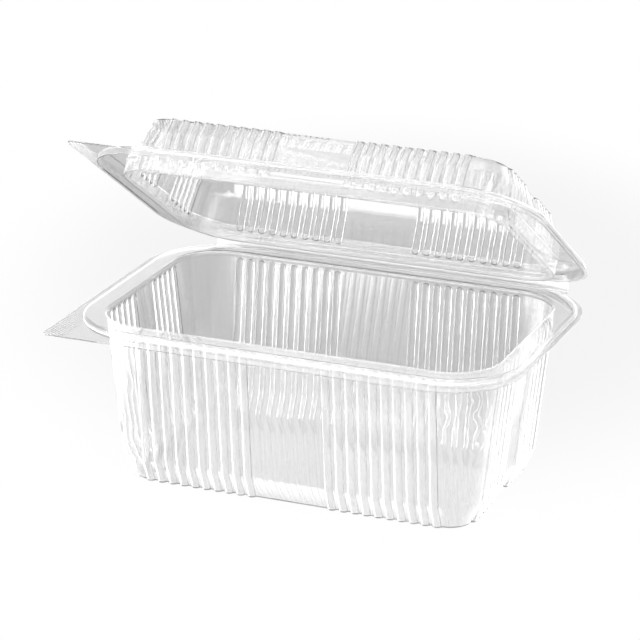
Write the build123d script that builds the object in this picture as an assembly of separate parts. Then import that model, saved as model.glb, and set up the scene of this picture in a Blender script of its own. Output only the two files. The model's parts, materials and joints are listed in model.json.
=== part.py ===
from build123d import *
import math
import os

os.makedirs("parts", exist_ok=True)

# Sheet and clearances (mm)
SHEET = 0.5                 # formed PET sheet
PLUG_GAP = 0.7              # lid plug to tub neck, all round
BEAD_GAP = 0.5              # lid bead over tub bead
FLANGE_GAP = 0.4            # lid flange above tub flange when shut
CREASE_GAP = 0.4            # sheet edge to crease axis
STRIP_GAP = 0.5             # strip edge to crease axis

# Mouth of the tub: the inner edge of the rim's crown
MOUTH_X = 85.0              # half length
MOUTH_Y = 52.1              # half width
MOUTH_R = 20.0              # corner radius

# Tub
TUB_H = 71.2                # base underside to top of crown
NECK = 2.0                  # plain neck under the crown
DRAFT = 0.107               # wall lean, mm in per mm down
TUB_BEND = 10.2             # height where the wall turns into the chamfer
TUB_CHAMFER = 4.6           # inward run of the base chamfer
BEAD_W = 10.2               # outer face of the tub bead, out from the mouth edge
FLANGE_DROP = 2.0           # crown to the flange's top face
TUB_EDGES = (13.8, 12.2, 18.4)  # tub flange edges: left, right and front, out from the mouth edge
TAB_R = 3.0                 # tip of the pointed front left tab

# Lid, sizes above the underside of its flange
LID_BEAD_H = 4.3            # flange underside to crown
PLUG_DEPTH = 3.3            # plug below the flange underside
CHANNEL = 2.6               # channel between the plug and the dome wall
LID_BEND = 15.0             # where the dome wall turns into its chamfer
LID_H = 21.5                # top panel
LID_CHAMFER = 2.8           # inward run of the top chamfer
LID_EDGES = (12.4, 12.6, 17.7)  # lid flange edges: left, right and front, out from the mouth edge

# Flutes
PITCH = 5.07
FLUTE_R = 1.9
LONG_SLOTS = [k - 12.5 for k in range(26) if k < 10 or k > 15]
SHORT_SLOTS = [k - 6.0 for k in range(13) if k < 5 or k > 7]

# Hinge strip
STRIP_HALF = 81.3           # half length of the strip
STRIP_W = 5.06              # crease to crease
OPEN_DEG = 32.8             # lid angle from shut as shown, shared by both creases
HINGE_Y = 68.0              # both creases, with the lid shut
HINGE_DROP = 1.2            # step down of the tub's hinge lip below its flange

# Derived levels
LID_Z = TUB_H - FLANGE_DROP + FLANGE_GAP
TUB_CREASE = (0.0, HINGE_Y, TUB_H - FLANGE_DROP - HINGE_DROP - SHEET / 2)
LID_CREASE = (0.0, HINGE_Y, TUB_CREASE[2] + STRIP_W)
LID_BEAD_W = BEAD_W + BEAD_GAP + SHEET
PLUG_W = -PLUG_GAP - SHEET
DOME_W = PLUG_W - CHANNEL + SHEET
PLUG_Z = LID_Z - PLUG_DEPTH
CLEAR = 30.0                # how far cutting solids run past what they cut


def outline(out, z=0.0):
    """Mouth outline grown outward by `out`, lying at height z."""
    shape = RectangleRounded(2 * (MOUTH_X + out), 2 * (MOUTH_Y + out), MOUTH_R + out)
    return Pos(0, 0, z) * shape


def prism(out, low, high):
    """Straight solid of the mouth outline grown by `out`."""
    return extrude(outline(out, low), high - low)


def ring(inner, outer, low, high):
    """Straight ring between two grown outlines."""
    return prism(outer, low, high) - prism(inner, low - 1, high + 1)


def slab(low, high):
    """Wide plate between two heights, to trim with."""
    return Pos(0, 0, low) * Box(400, 400, high - low, align=(Align.CENTER, Align.CENTER, Align.MIN))


def walls(profile, grow):
    """Tapered solid through (height, out) stations, each grown by `grow`."""
    body = None
    for (z0, w0), (z1, w1) in zip(profile, profile[1:]):
        piece = loft([outline(w0 + grow, z0), outline(w1 + grow, z1)], ruled=True)
        body = piece if body is None else body + piece
    return body


def rod(a, b, radius):
    """Round bar from a to b."""
    start = Vector(*a)
    run = Vector(*b) - start
    bar = Cylinder(radius, run.length, align=(Align.CENTER, Align.CENTER, Align.MIN))
    return Plane(origin=start, z_dir=run) * bar


def flute(profile, start, radius):
    """One flute on a wall facing -Y, from its round end at `start` past the closed end."""
    (z0, w0), (z1, w1), (z2, w2) = profile
    lean = (w1 - w0) / (z1 - z0)
    top = (0, -(w0 + lean * (start - z0) - SHEET), start)
    bend = (0, -(w1 - SHEET), z1)
    past = 1.3
    end = (0, -(w1 - SHEET + past * (w2 - w1)), z1 + past * (z2 - z1))
    bar = rod(top, bend, radius) + Pos(*top) * Sphere(radius)
    return bar + [Pos(*bend) * Sphere(radius), rod(bend, end, radius)]


def flutes(profile, start, radius):
    """The flutes of all four walls."""
    one = flute(profile, start, radius)
    out = []
    for slot in LONG_SLOTS:
        for turn in (0, 180):
            out.append(Rot(0, 0, turn) * Pos(slot * PITCH, -MOUTH_Y, 0) * one)
    for slot in SHORT_SLOTS:
        for turn in (90, -90):
            out.append(Rot(0, 0, turn) * Pos(slot * PITCH, -MOUTH_X, 0) * one)
    return out


def fluted_shell(profile, start):
    """Thin fluted cup: open at the first station, closed at the last."""
    mouth, end = profile[0][0], profile[-1][0]
    up = 1 if end > mouth else -1
    outer = walls(profile, 0) + flutes(profile, start, FLUTE_R)
    outer = outer & slab(min(mouth, end), max(mouth, end))
    cut = list(profile)
    lean = (profile[1][1] - profile[0][1]) / (profile[1][0] - profile[0][0])
    cut[0] = (mouth - up * 1.0, profile[0][1] - up * lean)
    inner = walls(cut, -SHEET) + flutes(profile, start, FLUTE_R - SHEET)
    floor = end - up * SHEET
    far = mouth - up * CLEAR
    inner = inner & slab(min(far, floor), max(far, floor))
    return outer - inner


def tub_shell():
    """Fluted tub: base, chamfer and four walls up to the neck."""
    neck_z = TUB_H - NECK
    fall = DRAFT * (neck_z - TUB_BEND)
    profile = [
        (neck_z, SHEET),
        (TUB_BEND, SHEET - fall),
        (0.0, SHEET - fall - TUB_CHAMFER),
    ]
    return fluted_shell(profile, neck_z - 0.2 - FLUTE_R)


def bead(inner, outer, low, high, inner_r, outer_r):
    """Upright ring with rounded top edges."""
    body = ring(inner, outer, low, high)
    edges = [e for e in body.edges() if abs(e.center().Z - high) < 1e-6]
    far = MOUTH_X + (inner + outer) / 2
    outside, inside = [], []
    for edge in edges:
        x, y = abs(edge.center().X), abs(edge.center().Y)
        mid = (inner + outer) / 2
        beyond = x > far or y > MOUTH_Y + mid
        corner = math.hypot(x - (MOUTH_X - MOUTH_R), y - (MOUTH_Y - MOUTH_R)) > MOUTH_R + mid
        is_corner = x > MOUTH_X - MOUTH_R and y > MOUTH_Y - MOUTH_R
        (outside if (corner if is_corner else beyond) else inside).append(edge)
    body = fillet(outside, outer_r)
    edges = [e for e in body.edges() if any(abs((e @ 0.5 - o @ 0.5).length) < 1e-4 for o in inside)]
    return fillet(edges, inner_r)


def channel(inner, outer, low, leg, high, inner_r, outer_r):
    """Inverted U of sheet: inner leg down to `low`, outer leg down to `leg`."""
    skin = bead(inner, outer, low, high, inner_r, outer_r)
    hollow = bead(inner + SHEET, outer - SHEET, low - 1, high - SHEET, inner_r - SHEET, outer_r - SHEET)
    trim = ring(inner + 2 * SHEET, outer + 5, low - 1, leg)
    return skin - hollow - trim


def tub_rim():
    """Neck and raised bead of the tub."""
    return channel(0, BEAD_W, TUB_H - NECK, TUB_H - FLANGE_DROP - SHEET, TUB_H, 1.2, 1.8)


def flange_outline(edges):
    """Flat outline: side flanges, opening lip and pointed front left tab."""
    left_w, right_w, lip_w = edges
    left, right = MOUTH_X + left_w, MOUTH_X + right_w
    front, rear = MOUTH_Y + lip_w, MOUTH_Y + right_w
    plate = Pos((right - left) / 2, (rear - front) / 2) * Rectangle(right + left, front + rear)
    corners = plate.vertices().sort_by(Axis.Y)
    front_left, front_right = corners[:2].sort_by(Axis.X)
    rear_left, rear_right = corners[2:].sort_by(Axis.X)
    plate = fillet(front_left, TAB_R)
    plate = fillet(near(plate, front_right), MOUTH_R + right_w)
    plate = fillet(near(plate, rear_left), MOUTH_R + left_w)
    return fillet(near(plate, rear_right), MOUTH_R + right_w)


def near(shape, point):
    """The shape's vertex nearest to a point."""
    return shape.vertices().sort_by_distance(point)[0]


def tub_flange():
    """Flat flange with the opening lip, the corner tab and the stepped hinge lip."""
    low = TUB_H - FLANGE_DROP - SHEET
    plate = Pos(0, 0, low) * extrude(flange_outline(TUB_EDGES), SHEET)
    plate = plate - behind(MOUTH_Y + BEAD_W + 1.5)
    return plate + tub_hinge_lip(low) - prism(BEAD_W, low - 1, low + 2)


def behind(y):
    """Block behind a plane across the back, to trim with."""
    return Pos(0, y, 0) * Box(400, 100, 400, align=(Align.CENTER, Align.MIN, Align.CENTER))


def tub_hinge_lip(low):
    """Lip behind the tub's bead: flat, a step down, and flat again to the crease."""
    start = MOUTH_Y - MOUTH_R / 2
    step = MOUTH_Y + BEAD_W + 1.5
    top = [(start, low + SHEET), (step, low + SHEET), (step + 1.5, low + SHEET - HINGE_DROP)]
    top.append((HINGE_Y - CREASE_GAP, top[-1][1]))
    under = [(y, z - SHEET) for y, z in reversed(top)]
    section = Plane.YZ * make_face(Polyline(*top, *under, close=True))
    return Pos(-STRIP_HALF, 0, 0) * extrude(section, 2 * STRIP_HALF)


def shut_lid_rim():
    """Lid bead, plug and channel floor, with the lid shut."""
    body = channel(PLUG_W, LID_BEAD_W, PLUG_Z, LID_Z, LID_Z + LID_BEAD_H, 1.2, 1.8)
    floor = ring(DOME_W - SHEET, PLUG_W + SHEET / 2, PLUG_Z, PLUG_Z + SHEET)
    lip = Pos(0, HINGE_Y - CREASE_GAP, LID_CREASE[2]) * Box(
        2 * STRIP_HALF, MOUTH_R, SHEET, align=(Align.CENTER, Align.MAX, Align.CENTER)
    )
    return body + floor + (lip - prism(LID_BEAD_W - SHEET / 2, PLUG_Z, LID_Z + LID_H))


def shut_lid_flange():
    """Flat lid flange with its lip and corner tab, open at the back for the hinge lip."""
    plate = Pos(0, 0, LID_Z) * extrude(flange_outline(LID_EDGES), SHEET)
    plate = plate - prism(LID_BEAD_W, LID_Z - 1, LID_Z + 2)
    return plate - behind(MOUTH_Y + LID_BEAD_W - 0.6)


def shut_lid_shell():
    """Fluted dome of the lid, closed by its top panel."""
    rise = DRAFT * (LID_BEND + PLUG_DEPTH - SHEET)
    profile = [
        (PLUG_Z + SHEET, DOME_W),
        (LID_Z + LID_BEND, DOME_W - rise),
        (LID_Z + LID_H, DOME_W - rise - LID_CHAMFER),
    ]
    return fluted_shell(profile, LID_Z + 0.5 + FLUTE_R)


def shut_strip():
    """Hinge strip standing upright between the two creases."""
    length = LID_CREASE[2] - TUB_CREASE[2] - 2 * STRIP_GAP
    middle = (LID_CREASE[2] + TUB_CREASE[2]) / 2
    return Pos(0, TUB_CREASE[1], middle) * Box(2 * STRIP_HALF, SHEET, length)


def opened(part, creases):
    """Turns a part from shut to the shown angle about the creases it hangs on."""
    for crease in creases:
        part = part.rotate(Axis(crease, (1, 0, 0)), -OPEN_DEG / 2)
    return part


NODES = {
    "tub_shell": tub_shell(),
    "tub_rim": tub_rim(),
    "tub_flange": tub_flange(),
    "hinge_strip": opened(shut_strip(), [TUB_CREASE]),
    "lid_rim": opened(shut_lid_rim(), [LID_CREASE, TUB_CREASE]),
    "lid_flange": opened(shut_lid_flange(), [LID_CREASE, TUB_CREASE]),
    "lid_shell": opened(shut_lid_shell(), [LID_CREASE, TUB_CREASE]),
}
for name, node in NODES.items():
    export_step(node, f"parts/{name}.step")
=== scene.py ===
"""Looks of a clear hinged container: formed PET tub, live hinge and domed lid."""

import json
import logging
import math
from dataclasses import dataclass
from enum import Enum
from typing import Any, ClassVar

import bmesh
import bpy
from mathutils import Matrix, Vector


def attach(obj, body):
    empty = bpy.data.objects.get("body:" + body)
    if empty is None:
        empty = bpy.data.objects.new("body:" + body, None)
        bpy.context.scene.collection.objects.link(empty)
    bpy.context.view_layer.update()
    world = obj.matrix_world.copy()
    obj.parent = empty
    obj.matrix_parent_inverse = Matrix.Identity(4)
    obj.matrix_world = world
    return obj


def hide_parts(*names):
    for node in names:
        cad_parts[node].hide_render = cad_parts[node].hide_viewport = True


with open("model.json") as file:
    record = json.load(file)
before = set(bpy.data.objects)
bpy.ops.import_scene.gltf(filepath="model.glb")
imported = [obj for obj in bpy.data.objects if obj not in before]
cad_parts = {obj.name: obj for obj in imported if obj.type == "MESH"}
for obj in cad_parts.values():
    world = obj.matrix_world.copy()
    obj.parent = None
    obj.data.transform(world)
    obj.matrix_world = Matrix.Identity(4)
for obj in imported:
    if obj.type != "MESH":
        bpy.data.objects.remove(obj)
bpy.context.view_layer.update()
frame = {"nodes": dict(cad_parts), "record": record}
LOG = logging.getLogger("hinged_container")
MM = 0.001
# The lid's turn from shut to the pose that its meshes are stored in.
OPEN_DEG = -32.8
# A wave texture's lines repeat every pi / 10 of its coordinates.
WAVE_PERIOD = math.pi / 10


class Body(Enum):
    """The three moving bodies of the container."""

    TUB = "tub"
    STRIP = "strip"
    LID = "lid"


def srgb(code: str) -> tuple[float, float, float, float]:
    """Turns an sRGB hex colour to linear RGBA.

    Args:
        code: Six hex digits.

    Returns:
        The linear colour with full alpha.
    """
    parts = [int(code[i:i + 2], 16) / 255 for i in (0, 2, 4)]
    linear = [p / 12.92 if p <= 0.04045 else ((p + 0.055) / 1.055) ** 2.4 for p in parts]
    return (linear[0], linear[1], linear[2], 1.0)


def add_node(tree: bpy.types.NodeTree, kind: str, links: dict[str, Any] | None = None,
             **settings: Any) -> bpy.types.Node:
    """Adds a node with its settings, socket values and links.

    Args:
        tree: The tree that gets the node.
        kind: The node's type name.
        links: Socket name or index to a value, or to an output socket that feeds it.
        **settings: Properties of the node itself.

    Returns:
        The new node.
    """
    node = tree.nodes.new(kind)
    for key, value in settings.items():
        setattr(node, key, value)
    for key, value in (links or {}).items():
        if isinstance(value, bpy.types.NodeSocket):
            tree.links.new(value, node.inputs[key])
        else:
            node.inputs[key].default_value = value
    return node


def empty_material(name: str) -> bpy.types.Material:
    """Makes a material with an empty node tree.

    Args:
        name: The material's name.

    Returns:
        The new material.
    """
    material = bpy.data.materials.new(name)
    material.use_nodes = True
    material.node_tree.nodes.clear()
    return material


@dataclass(frozen=True)
class Knurl:
    """The fine diamond grip pressed into the flange's ends, so that a finger finds them."""

    pitch_mm: float = 1.3
    height_mm: float = 0.05
    lean_deg: float = 32.0
    left_mm: float = -89.0
    right_mm: float = 92.5
    fade_mm: float = 1.0
    turn_deg: float = 0.0


@dataclass(frozen=True)
class ClearPet:
    """Clear amorphous PET sheet, vacuum formed: glossy and glass-like, wavy where it stretched."""

    name: str = "clear_pet_sheet"
    tint: str = "f8f8f8"
    ior: float = 1.575
    transmission: float = 0.94
    wave_mm: float = 9.0
    wave_height_mm: float = 0.008
    wave_detail: float = 2.0
    chill_mm: float = 1.6
    chill_height_mm: float = 0.0004
    chill_detail: float = 3.0
    gloss: tuple[float, float] = (0.01, 0.04)
    gloss_band: tuple[float, float] = (0.3, 0.7)
    knurl: Knurl | None = None

    def build(self) -> bpy.types.Material:
        """Builds the sheet's material.

        Returns:
            The material.
        """
        material = empty_material(self.name)
        tree = material.node_tree
        place = add_node(tree, "ShaderNodeTexCoord")
        # Slow waves from uneven stretch over the mould.
        wave = add_node(tree, "ShaderNodeTexNoise", {
            "Vector": place.outputs["Object"], "Scale": 1 / (self.wave_mm * MM),
            "Detail": self.wave_detail})
        # Fine chill marks where the hot sheet first met the mould.
        chill = add_node(tree, "ShaderNodeTexNoise", {
            "Vector": place.outputs["Object"], "Scale": 1 / (self.chill_mm * MM),
            "Detail": self.chill_detail})
        slow = add_node(tree, "ShaderNodeBump", {
            "Height": wave.outputs["Fac"], "Strength": 1.0, "Distance": self.wave_height_mm * MM})
        bump = add_node(tree, "ShaderNodeBump", {
            "Height": chill.outputs["Fac"], "Strength": 1.0,
            "Distance": self.chill_height_mm * MM, "Normal": slow.outputs["Normal"]})
        if self.knurl:
            bump = self.add_knurl(tree, place, bump, self.knurl)
        rough = add_node(tree, "ShaderNodeMapRange", {
            "Value": chill.outputs["Fac"], "From Min": self.gloss_band[0],
            "From Max": self.gloss_band[1], "To Min": self.gloss[0],
            "To Max": self.gloss[1]})
        shader = add_node(tree, "ShaderNodeBsdfPrincipled", {
            "Base Color": srgb(self.tint), "IOR": self.ior,
            "Transmission Weight": self.transmission,
            "Roughness": rough.outputs["Result"], "Normal": bump.outputs["Normal"]})
        add_node(tree, "ShaderNodeOutputMaterial", {"Surface": shader.outputs["BSDF"]})
        return material

    def add_knurl(self, tree: bpy.types.NodeTree, place: bpy.types.Node, under: bpy.types.Node,
                  knurl: Knurl) -> bpy.types.Node:
        """Adds the diamond grip over another bump, only at the flange's ends.

        Args:
            tree: The material's tree.
            place: Its texture coordinates.
            under: The bump below it.
            knurl: The grip's sizes.

        Returns:
            The top bump node.
        """
        flat = add_node(tree, "ShaderNodeMapping", {
            "Vector": place.outputs["Object"], "Rotation": (math.radians(-knurl.turn_deg), 0, 0)})
        grooves = []
        for side in (-1, 1):
            turned = add_node(tree, "ShaderNodeMapping", {
                "Vector": flat.outputs["Vector"],
                "Rotation": (0, 0, side * math.radians(knurl.lean_deg))})
            grooves.append(add_node(tree, "ShaderNodeTexWave", {
                "Vector": turned.outputs["Vector"],
                "Scale": WAVE_PERIOD / (knurl.pitch_mm * MM)}, bands_direction="Y"))
        crossed = add_node(tree, "ShaderNodeMath", {
            0: grooves[0].outputs["Fac"], 1: grooves[1].outputs["Fac"]}, operation="MULTIPLY")
        axes = add_node(tree, "ShaderNodeSeparateXYZ", {"Vector": place.outputs["Object"]})
        ends = [add_node(tree, "ShaderNodeMapRange", {
            "Value": axes.outputs["X"], "From Min": start * MM,
            "From Max": (start + fade) * MM})
            for start, fade in ((knurl.left_mm, -knurl.fade_mm), (knurl.right_mm, knurl.fade_mm))]
        both = add_node(tree, "ShaderNodeMath", {
            0: ends[0].outputs["Result"], 1: ends[1].outputs["Result"]}, operation="MAXIMUM")
        height = add_node(tree, "ShaderNodeMath", {
            0: crossed.outputs[0], 1: both.outputs[0]}, operation="MULTIPLY")
        return add_node(tree, "ShaderNodeBump", {
            "Height": height.outputs[0], "Strength": 1.0, "Distance": knurl.height_mm * MM,
            "Normal": under.outputs["Normal"]})


@dataclass
class FormedSheet:
    """A sub-assembly of the one formed sheet, shown by smooth copies of its CAD nodes."""

    clear: bpy.types.Material
    merge_mm: float = 0.002
    crease_deg: float = 38.0
    flat_weight: int = 80
    body: ClassVar[Body]

    def finishes(self) -> dict[str, bpy.types.Material]:
        """Gives the nodes whose finish isn't the plain clear sheet."""
        return {}

    def build(self) -> list[bpy.types.Object]:
        """Builds and dresses every piece of the body, in the record's order.

        Returns:
            The pieces.
        """
        special = self.finishes()
        pieces = []
        for node in frame["record"]["behaviour"]["bodies"][self.body.value]:
            piece = self.smooth_copy(node)
            self.dress(piece, node, special.get(node, self.clear))
            pieces.append(piece)
        return pieces

    def smooth_copy(self, node: str) -> bpy.types.Object:
        """Makes a merged copy of a CAD node, smooth but for its creases.

        Args:
            node: The CAD node's name.

        Returns:
            The new piece.
        """
        mesh = frame["nodes"][node].data.copy()
        form = bmesh.new()
        form.from_mesh(mesh)
        bmesh.ops.remove_doubles(form, verts=form.verts, dist=self.merge_mm * MM)
        for face in form.faces:
            face.smooth = True
        crease = math.radians(self.crease_deg)
        for edge in form.edges:
            edge.smooth = len(edge.link_faces) == 2 and edge.calc_face_angle(0.0) < crease
        form.to_mesh(mesh)
        form.free()
        piece = bpy.data.objects.new(f"{node}_skin", mesh)
        bpy.context.scene.collection.objects.link(piece)
        even = piece.modifiers.new("even_normals", "WEIGHTED_NORMAL")
        even.keep_sharp = True
        even.weight = self.flat_weight
        return piece

    def dress(self, piece: bpy.types.Object, node: str, material: bpy.types.Material) -> None:
        """Gives a piece its finish and its body, and hides the CAD node that it stands for.

        Args:
            piece: The piece.
            node: The CAD node that it replaces.
            material: Its finish.
        """
        piece.data.materials.clear()
        piece.data.materials.append(material)
        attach(piece, self.body.value)
        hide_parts(node)


@dataclass
class Tub(FormedSheet):
    """The fluted tub with its rim bead and its flange, which has a grip at each end."""

    knurl: Knurl = Knurl()
    body: ClassVar[Body] = Body.TUB

    def finishes(self) -> dict[str, bpy.types.Material]:
        """Gives the flange its knurled finish."""
        return {"tub_flange": ClearPet(name="knurled_pet_sheet_tub", knurl=self.knurl).build()}


@dataclass
class HingeStrip(FormedSheet):
    """The plain strip between the two creases of the live hinge."""

    clarity: float = 0.6
    body: ClassVar[Body] = Body.STRIP

    def finishes(self) -> dict[str, bpy.types.Material]:
        """Gives the strip a sheet that folding has stretched and whitened a little."""
        folded = ClearPet(name="folded_pet_sheet", transmission=self.clarity)
        return {"hinge_strip": folded.build()}


@dataclass
class Lid(FormedSheet):
    """The domed, fluted lid with its snap rim and its flange, stored in its open pose."""

    knurl: Knurl = Knurl(turn_deg=OPEN_DEG)
    body: ClassVar[Body] = Body.LID

    def finishes(self) -> dict[str, bpy.types.Material]:
        """Gives the flange its knurled finish, turned with the lid."""
        return {"lid_flange": ClearPet(name="knurled_pet_sheet_lid", knurl=self.knurl).build()}


@dataclass(frozen=True)
class SoftBox:
    """A square area lamp."""

    name: str
    place: tuple[float, float, float]
    size: float
    power: float


@dataclass
class Studio:
    """Glowing white floor with painted light, white surround, soft boxes and the camera, all fixed
    in the frame.

    The surround differs by direction and the floor's glow by place, so that the clear walls mirror
    some of it; the floor's levels are painted shade, a painted shadow and a painted bright patch.
    """

    boxes: tuple[SoftBox, ...] = (
        SoftBox("key", (-0.55, -0.45, 0.75), 0.5, 1.6),
        SoftBox("fill", (0.8, -0.3, 0.5), 0.5, 1.6),
        SoftBox("top", (0.0, 0.15, 1.0), 0.7, 1.2))
    target_mm: tuple[float, float, float] = (-3.66, -3.26, 66.43)
    azimuth: float = 21.735
    elevation: float = 19.526
    roll: float = 0.538
    distance_mm: float = 1320.65
    lens_mm: float = 179.31
    sensor_mm: float = 36.0
    horizon: float = 2.8
    overhead: float = 0.7
    dim_from: float = 0.1
    dim_to: float = 0.6
    front_y: float = -0.7
    back_y: float = 0.4
    front_gain: float = 3.0
    side_gain: float = 0.55
    side_edge: tuple[float, float] = (0.5, 0.9)
    # Painted light in the floor's glow: painted shade and a painted bright patch where the sheet
    # mirrors it, and painted grey shade where it is seen through the sheet.
    painted_dim_edges: tuple[tuple[float, float], tuple[float, float]] = ((0.11, 0.2), (0.25, 0.4))
    painted_dim: float = 0.6
    painted_patch_edge: tuple[float, float] = (-0.2, -0.13)
    painted_patch_end: tuple[float, float] = (0.035, 0.065)
    painted_patch_glow: float = 7.0
    mirrored_painted_glow: float = 2.2
    through_sheet_painted_shade: float = 0.44
    mirrored_painted_shade: float = 0.7
    painted_shade_at: tuple[float, float, float] = (-0.1, 0.18, 0.0)
    painted_shade_radius: float = 0.26
    # Painted shadow in the floor's glow, seen directly; no lamp casts it.
    painted_shadow_at: tuple[float, float, float] = (-0.06, 0.24, 0.0)
    painted_shadow_size: tuple[float, float, float] = (0.22, 0.32, 1.0)
    painted_shadow_level: float = 0.91
    painted_shade_full: float = 0.6
    painted_shadow_full: float = 0.5
    mirror_depth: float = 0.5
    floor_half: float = 6.0
    floor_z: float = -0.0002

    def build(self) -> None:
        """Builds the camera, lights, floor and world."""
        self.add_camera()
        self.add_world()
        self.add_floor()
        self.add_lights()

    def add_camera(self) -> None:
        """Adds the camera on its arc about the target."""
        a, e = math.radians(self.azimuth), math.radians(self.elevation)
        back = Vector((math.sin(a) * math.cos(e), -math.cos(a) * math.cos(e), math.sin(e)))
        data = bpy.data.cameras.new("camera")
        data.lens = self.lens_mm
        data.sensor_width = self.sensor_mm
        camera = bpy.data.objects.new("camera", data)
        level = back.to_track_quat("Z", "Y").to_matrix()
        turn = level @ Matrix.Rotation(math.radians(self.roll), 3, "Z")
        place = (Vector(self.target_mm) + back * self.distance_mm) * MM
        camera.matrix_world = Matrix.Translation(place) @ turn.to_4x4()
        bpy.context.scene.collection.objects.link(camera)
        bpy.context.scene.camera = camera
        bpy.context.scene.view_settings.view_transform = "Standard"

    def add_world(self) -> None:
        """Adds a white surround: bright low in front, dimmer overhead and to the sides."""
        world = bpy.data.worlds.new("white_surround")
        world.use_nodes = True
        tree = world.node_tree
        tree.nodes.clear()
        place = add_node(tree, "ShaderNodeTexCoord")
        axes = add_node(tree, "ShaderNodeSeparateXYZ", {"Vector": place.outputs["Generated"]})
        ramp = add_node(tree, "ShaderNodeMapRange", {
            "Value": axes.outputs["Z"], "From Min": self.dim_from, "From Max": self.dim_to,
            "To Min": self.horizon, "To Max": self.overhead}, interpolation_type="SMOOTHSTEP")
        facing = add_node(tree, "ShaderNodeMapRange", {
            "Value": axes.outputs["Y"], "From Min": self.front_y, "From Max": self.back_y,
            "To Min": self.front_gain, "To Max": 1.0}, interpolation_type="SMOOTHSTEP")
        across = add_node(tree, "ShaderNodeMath", {0: axes.outputs["X"]}, operation="ABSOLUTE")
        side = add_node(tree, "ShaderNodeMapRange", {
            "Value": across.outputs[0], "From Min": self.side_edge[0],
            "From Max": self.side_edge[1], "To Min": 1.0, "To Max": self.side_gain},
            interpolation_type="SMOOTHSTEP")
        both = add_node(tree, "ShaderNodeMath", {
            0: facing.outputs["Result"], 1: side.outputs["Result"]}, operation="MULTIPLY")
        level = add_node(tree, "ShaderNodeMath", {
            0: ramp.outputs["Result"], 1: both.outputs[0]}, operation="MULTIPLY")
        glow = add_node(tree, "ShaderNodeBackground", {"Strength": level.outputs[0]})
        add_node(tree, "ShaderNodeOutputWorld", {"Surface": glow.outputs["Background"]})
        bpy.context.scene.world = world

    def add_floor(self) -> None:
        """Adds the glowing floor with painted light: white with a painted shadow to look at,
        painted grey shade through the sheet, and painted shade and a painted bright patch in its
        gloss.
        """
        white = empty_material("white_floor_painted_light")
        tree = white.node_tree
        place = add_node(tree, "ShaderNodeTexCoord").outputs["Object"]
        path = add_node(tree, "ShaderNodeLightPath")
        # Painted grey shade where the floor is seen through the sheet, painted levels where the
        # sheet mirrors it, and a painted shadow where it is looked at.
        mirrored = add_node(tree, "ShaderNodeMath", {
            0: path.outputs["Glossy Depth"], 1: self.mirror_depth}, operation="GREATER_THAN")
        seen = add_node(tree, "ShaderNodeMix", {
            "Factor": mirrored.outputs[0], "A": self.through_sheet_painted_shade,
            "B": self.add_painted_reflection_floor(tree, place)})
        level = add_node(tree, "ShaderNodeMix", {
            "Factor": path.outputs["Is Camera Ray"], "A": seen.outputs["Result"],
            "B": self.add_painted_shadow(tree, place)})
        glow = add_node(tree, "ShaderNodeEmission", {"Strength": level.outputs["Result"]})
        add_node(tree, "ShaderNodeOutputMaterial", {"Surface": glow.outputs["Emission"]})
        form = bmesh.new()
        bmesh.ops.create_grid(form, x_segments=1, y_segments=1, size=self.floor_half)
        bmesh.ops.translate(form, vec=(0, 0, self.floor_z), verts=form.verts)
        mesh = bpy.data.meshes.new("floor")
        form.to_mesh(mesh)
        form.free()
        mesh.materials.append(white)
        floor = bpy.data.objects.new("floor", mesh)
        bpy.context.scene.collection.objects.link(floor)

    def add_painted_reflection_floor(self, tree: bpy.types.NodeTree,
                           place: bpy.types.NodeSocket) -> bpy.types.NodeSocket:
        """Adds the floor's painted level in the sheet's gloss: painted glow, painted shade behind,
        and a painted bright patch.

        Args:
            tree: The floor's tree.
            place: Its object coordinates.

        Returns:
            The level's socket.
        """
        # Painted glow and painted shade: the mirrored floor glows bright, with a round painted
        # shade spot behind the object.
        spot = add_node(tree, "ShaderNodeMapping", {
            "Vector": place, "Location": self.painted_shade_at,
            "Scale": (self.painted_shade_radius, self.painted_shade_radius, 1.0)}, vector_type="TEXTURE")
        round_fade = add_node(tree, "ShaderNodeTexGradient", {"Vector": spot.outputs["Vector"]},
                              gradient_type="SPHERICAL")
        painted_glow_level = add_node(tree, "ShaderNodeMapRange", {
            "Value": round_fade.outputs["Fac"], "From Max": self.painted_shade_full,
            "To Min": self.mirrored_painted_glow, "To Max": self.mirrored_painted_shade},
            interpolation_type="SMOOTHSTEP")
        # Painted shade: darker to the right and far behind in the mirrored floor, so that the
        # sheet's edges show there.
        axes = add_node(tree, "ShaderNodeSeparateXYZ", {"Vector": place})
        for axis, (low, high) in zip("XY", self.painted_dim_edges):
            dim = add_node(tree, "ShaderNodeMapRange", {
                "Value": axes.outputs[axis], "From Min": low, "From Max": high,
                "To Min": 1.0, "To Max": self.painted_dim}, interpolation_type="SMOOTHSTEP")
            painted_glow_level = add_node(tree, "ShaderNodeMath", {
                0: painted_glow_level.outputs[0], 1: dim.outputs["Result"]}, operation="MULTIPLY")
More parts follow.
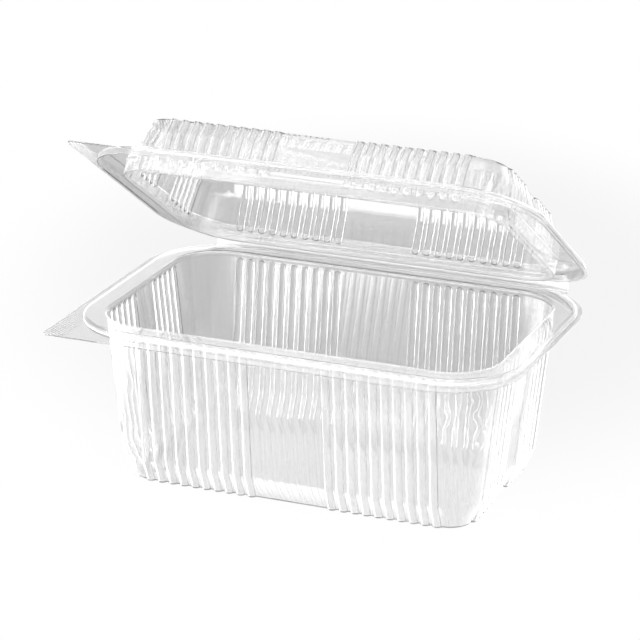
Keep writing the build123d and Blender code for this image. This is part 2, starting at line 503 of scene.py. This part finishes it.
        # A painted bright patch glows on the floor to the left and in front, seen only in the
        # sheet's reflections, where it paints highlights.
        sides = [add_node(tree, "ShaderNodeMapRange", {
            "Value": axes.outputs[axis], "From Min": low, "From Max": high,
            "To Min": 1.0, "To Max": 0.0}, interpolation_type="SMOOTHSTEP")
            for axis, (low, high) in (("X", self.painted_patch_edge), ("Y", self.painted_patch_end))]
        painted_patch = add_node(tree, "ShaderNodeMath", {
            0: sides[0].outputs["Result"], 1: sides[1].outputs["Result"]}, operation="MULTIPLY")
        with_painted_patch = add_node(tree, "ShaderNodeMix", {
            "Factor": painted_patch.outputs[0], "A": painted_glow_level.outputs[0], "B": self.painted_patch_glow})
        return with_painted_patch.outputs["Result"]

    def add_painted_shadow(self, tree: bpy.types.NodeTree,
                   place: bpy.types.NodeSocket) -> bpy.types.NodeSocket:
        """Adds a soft shadow painted into the floor's glow behind the object, as broad front light
        would throw it; nothing casts it.

        Args:
            tree: The floor's tree.
            place: Its object coordinates.

        Returns:
            The level's socket.
        """
        lean = add_node(tree, "ShaderNodeMapping", {
            "Vector": place, "Location": self.painted_shadow_at,
            "Rotation": (0, 0, math.radians(self.azimuth)),
            "Scale": self.painted_shadow_size}, vector_type="TEXTURE")
        long_fade = add_node(tree, "ShaderNodeTexGradient", {"Vector": lean.outputs["Vector"]},
                             gradient_type="SPHERICAL")
        # Painted shadow: the floor's glow darkens inside the leaning ellipse.
        shadow = add_node(tree, "ShaderNodeMapRange", {
            "Value": long_fade.outputs["Fac"], "From Max": self.painted_shadow_full,
            "To Min": 1.0, "To Max": self.painted_shadow_level}, interpolation_type="SMOOTHSTEP")
        return shadow.outputs["Result"]

    def add_lights(self) -> None:
        """Adds the soft boxes."""
        for box in self.boxes:
            data = bpy.data.lights.new(box.name, "AREA")
            data.size = box.size
            data.energy = box.power
            lamp = bpy.data.objects.new(box.name, data)
            aim = (Vector(box.place) - Vector(self.target_mm) * MM).to_track_quat("Z", "Y")
            lamp.matrix_world = Matrix.Translation(box.place) @ aim.to_matrix().to_4x4()
            bpy.context.scene.collection.objects.link(lamp)


def main() -> None:
    """Builds the container and the studio in order."""
    logging.basicConfig(level=logging.INFO, format="%(name)s: %(message)s")
    clear = ClearPet().build()
    for part in (Tub(clear), HingeStrip(clear), Lid(clear)):
        for piece in part.build():
            LOG.info("%s rides on %s", piece.name, part.body.value)
    Studio().build()


if __name__ == "__main__":
    main()
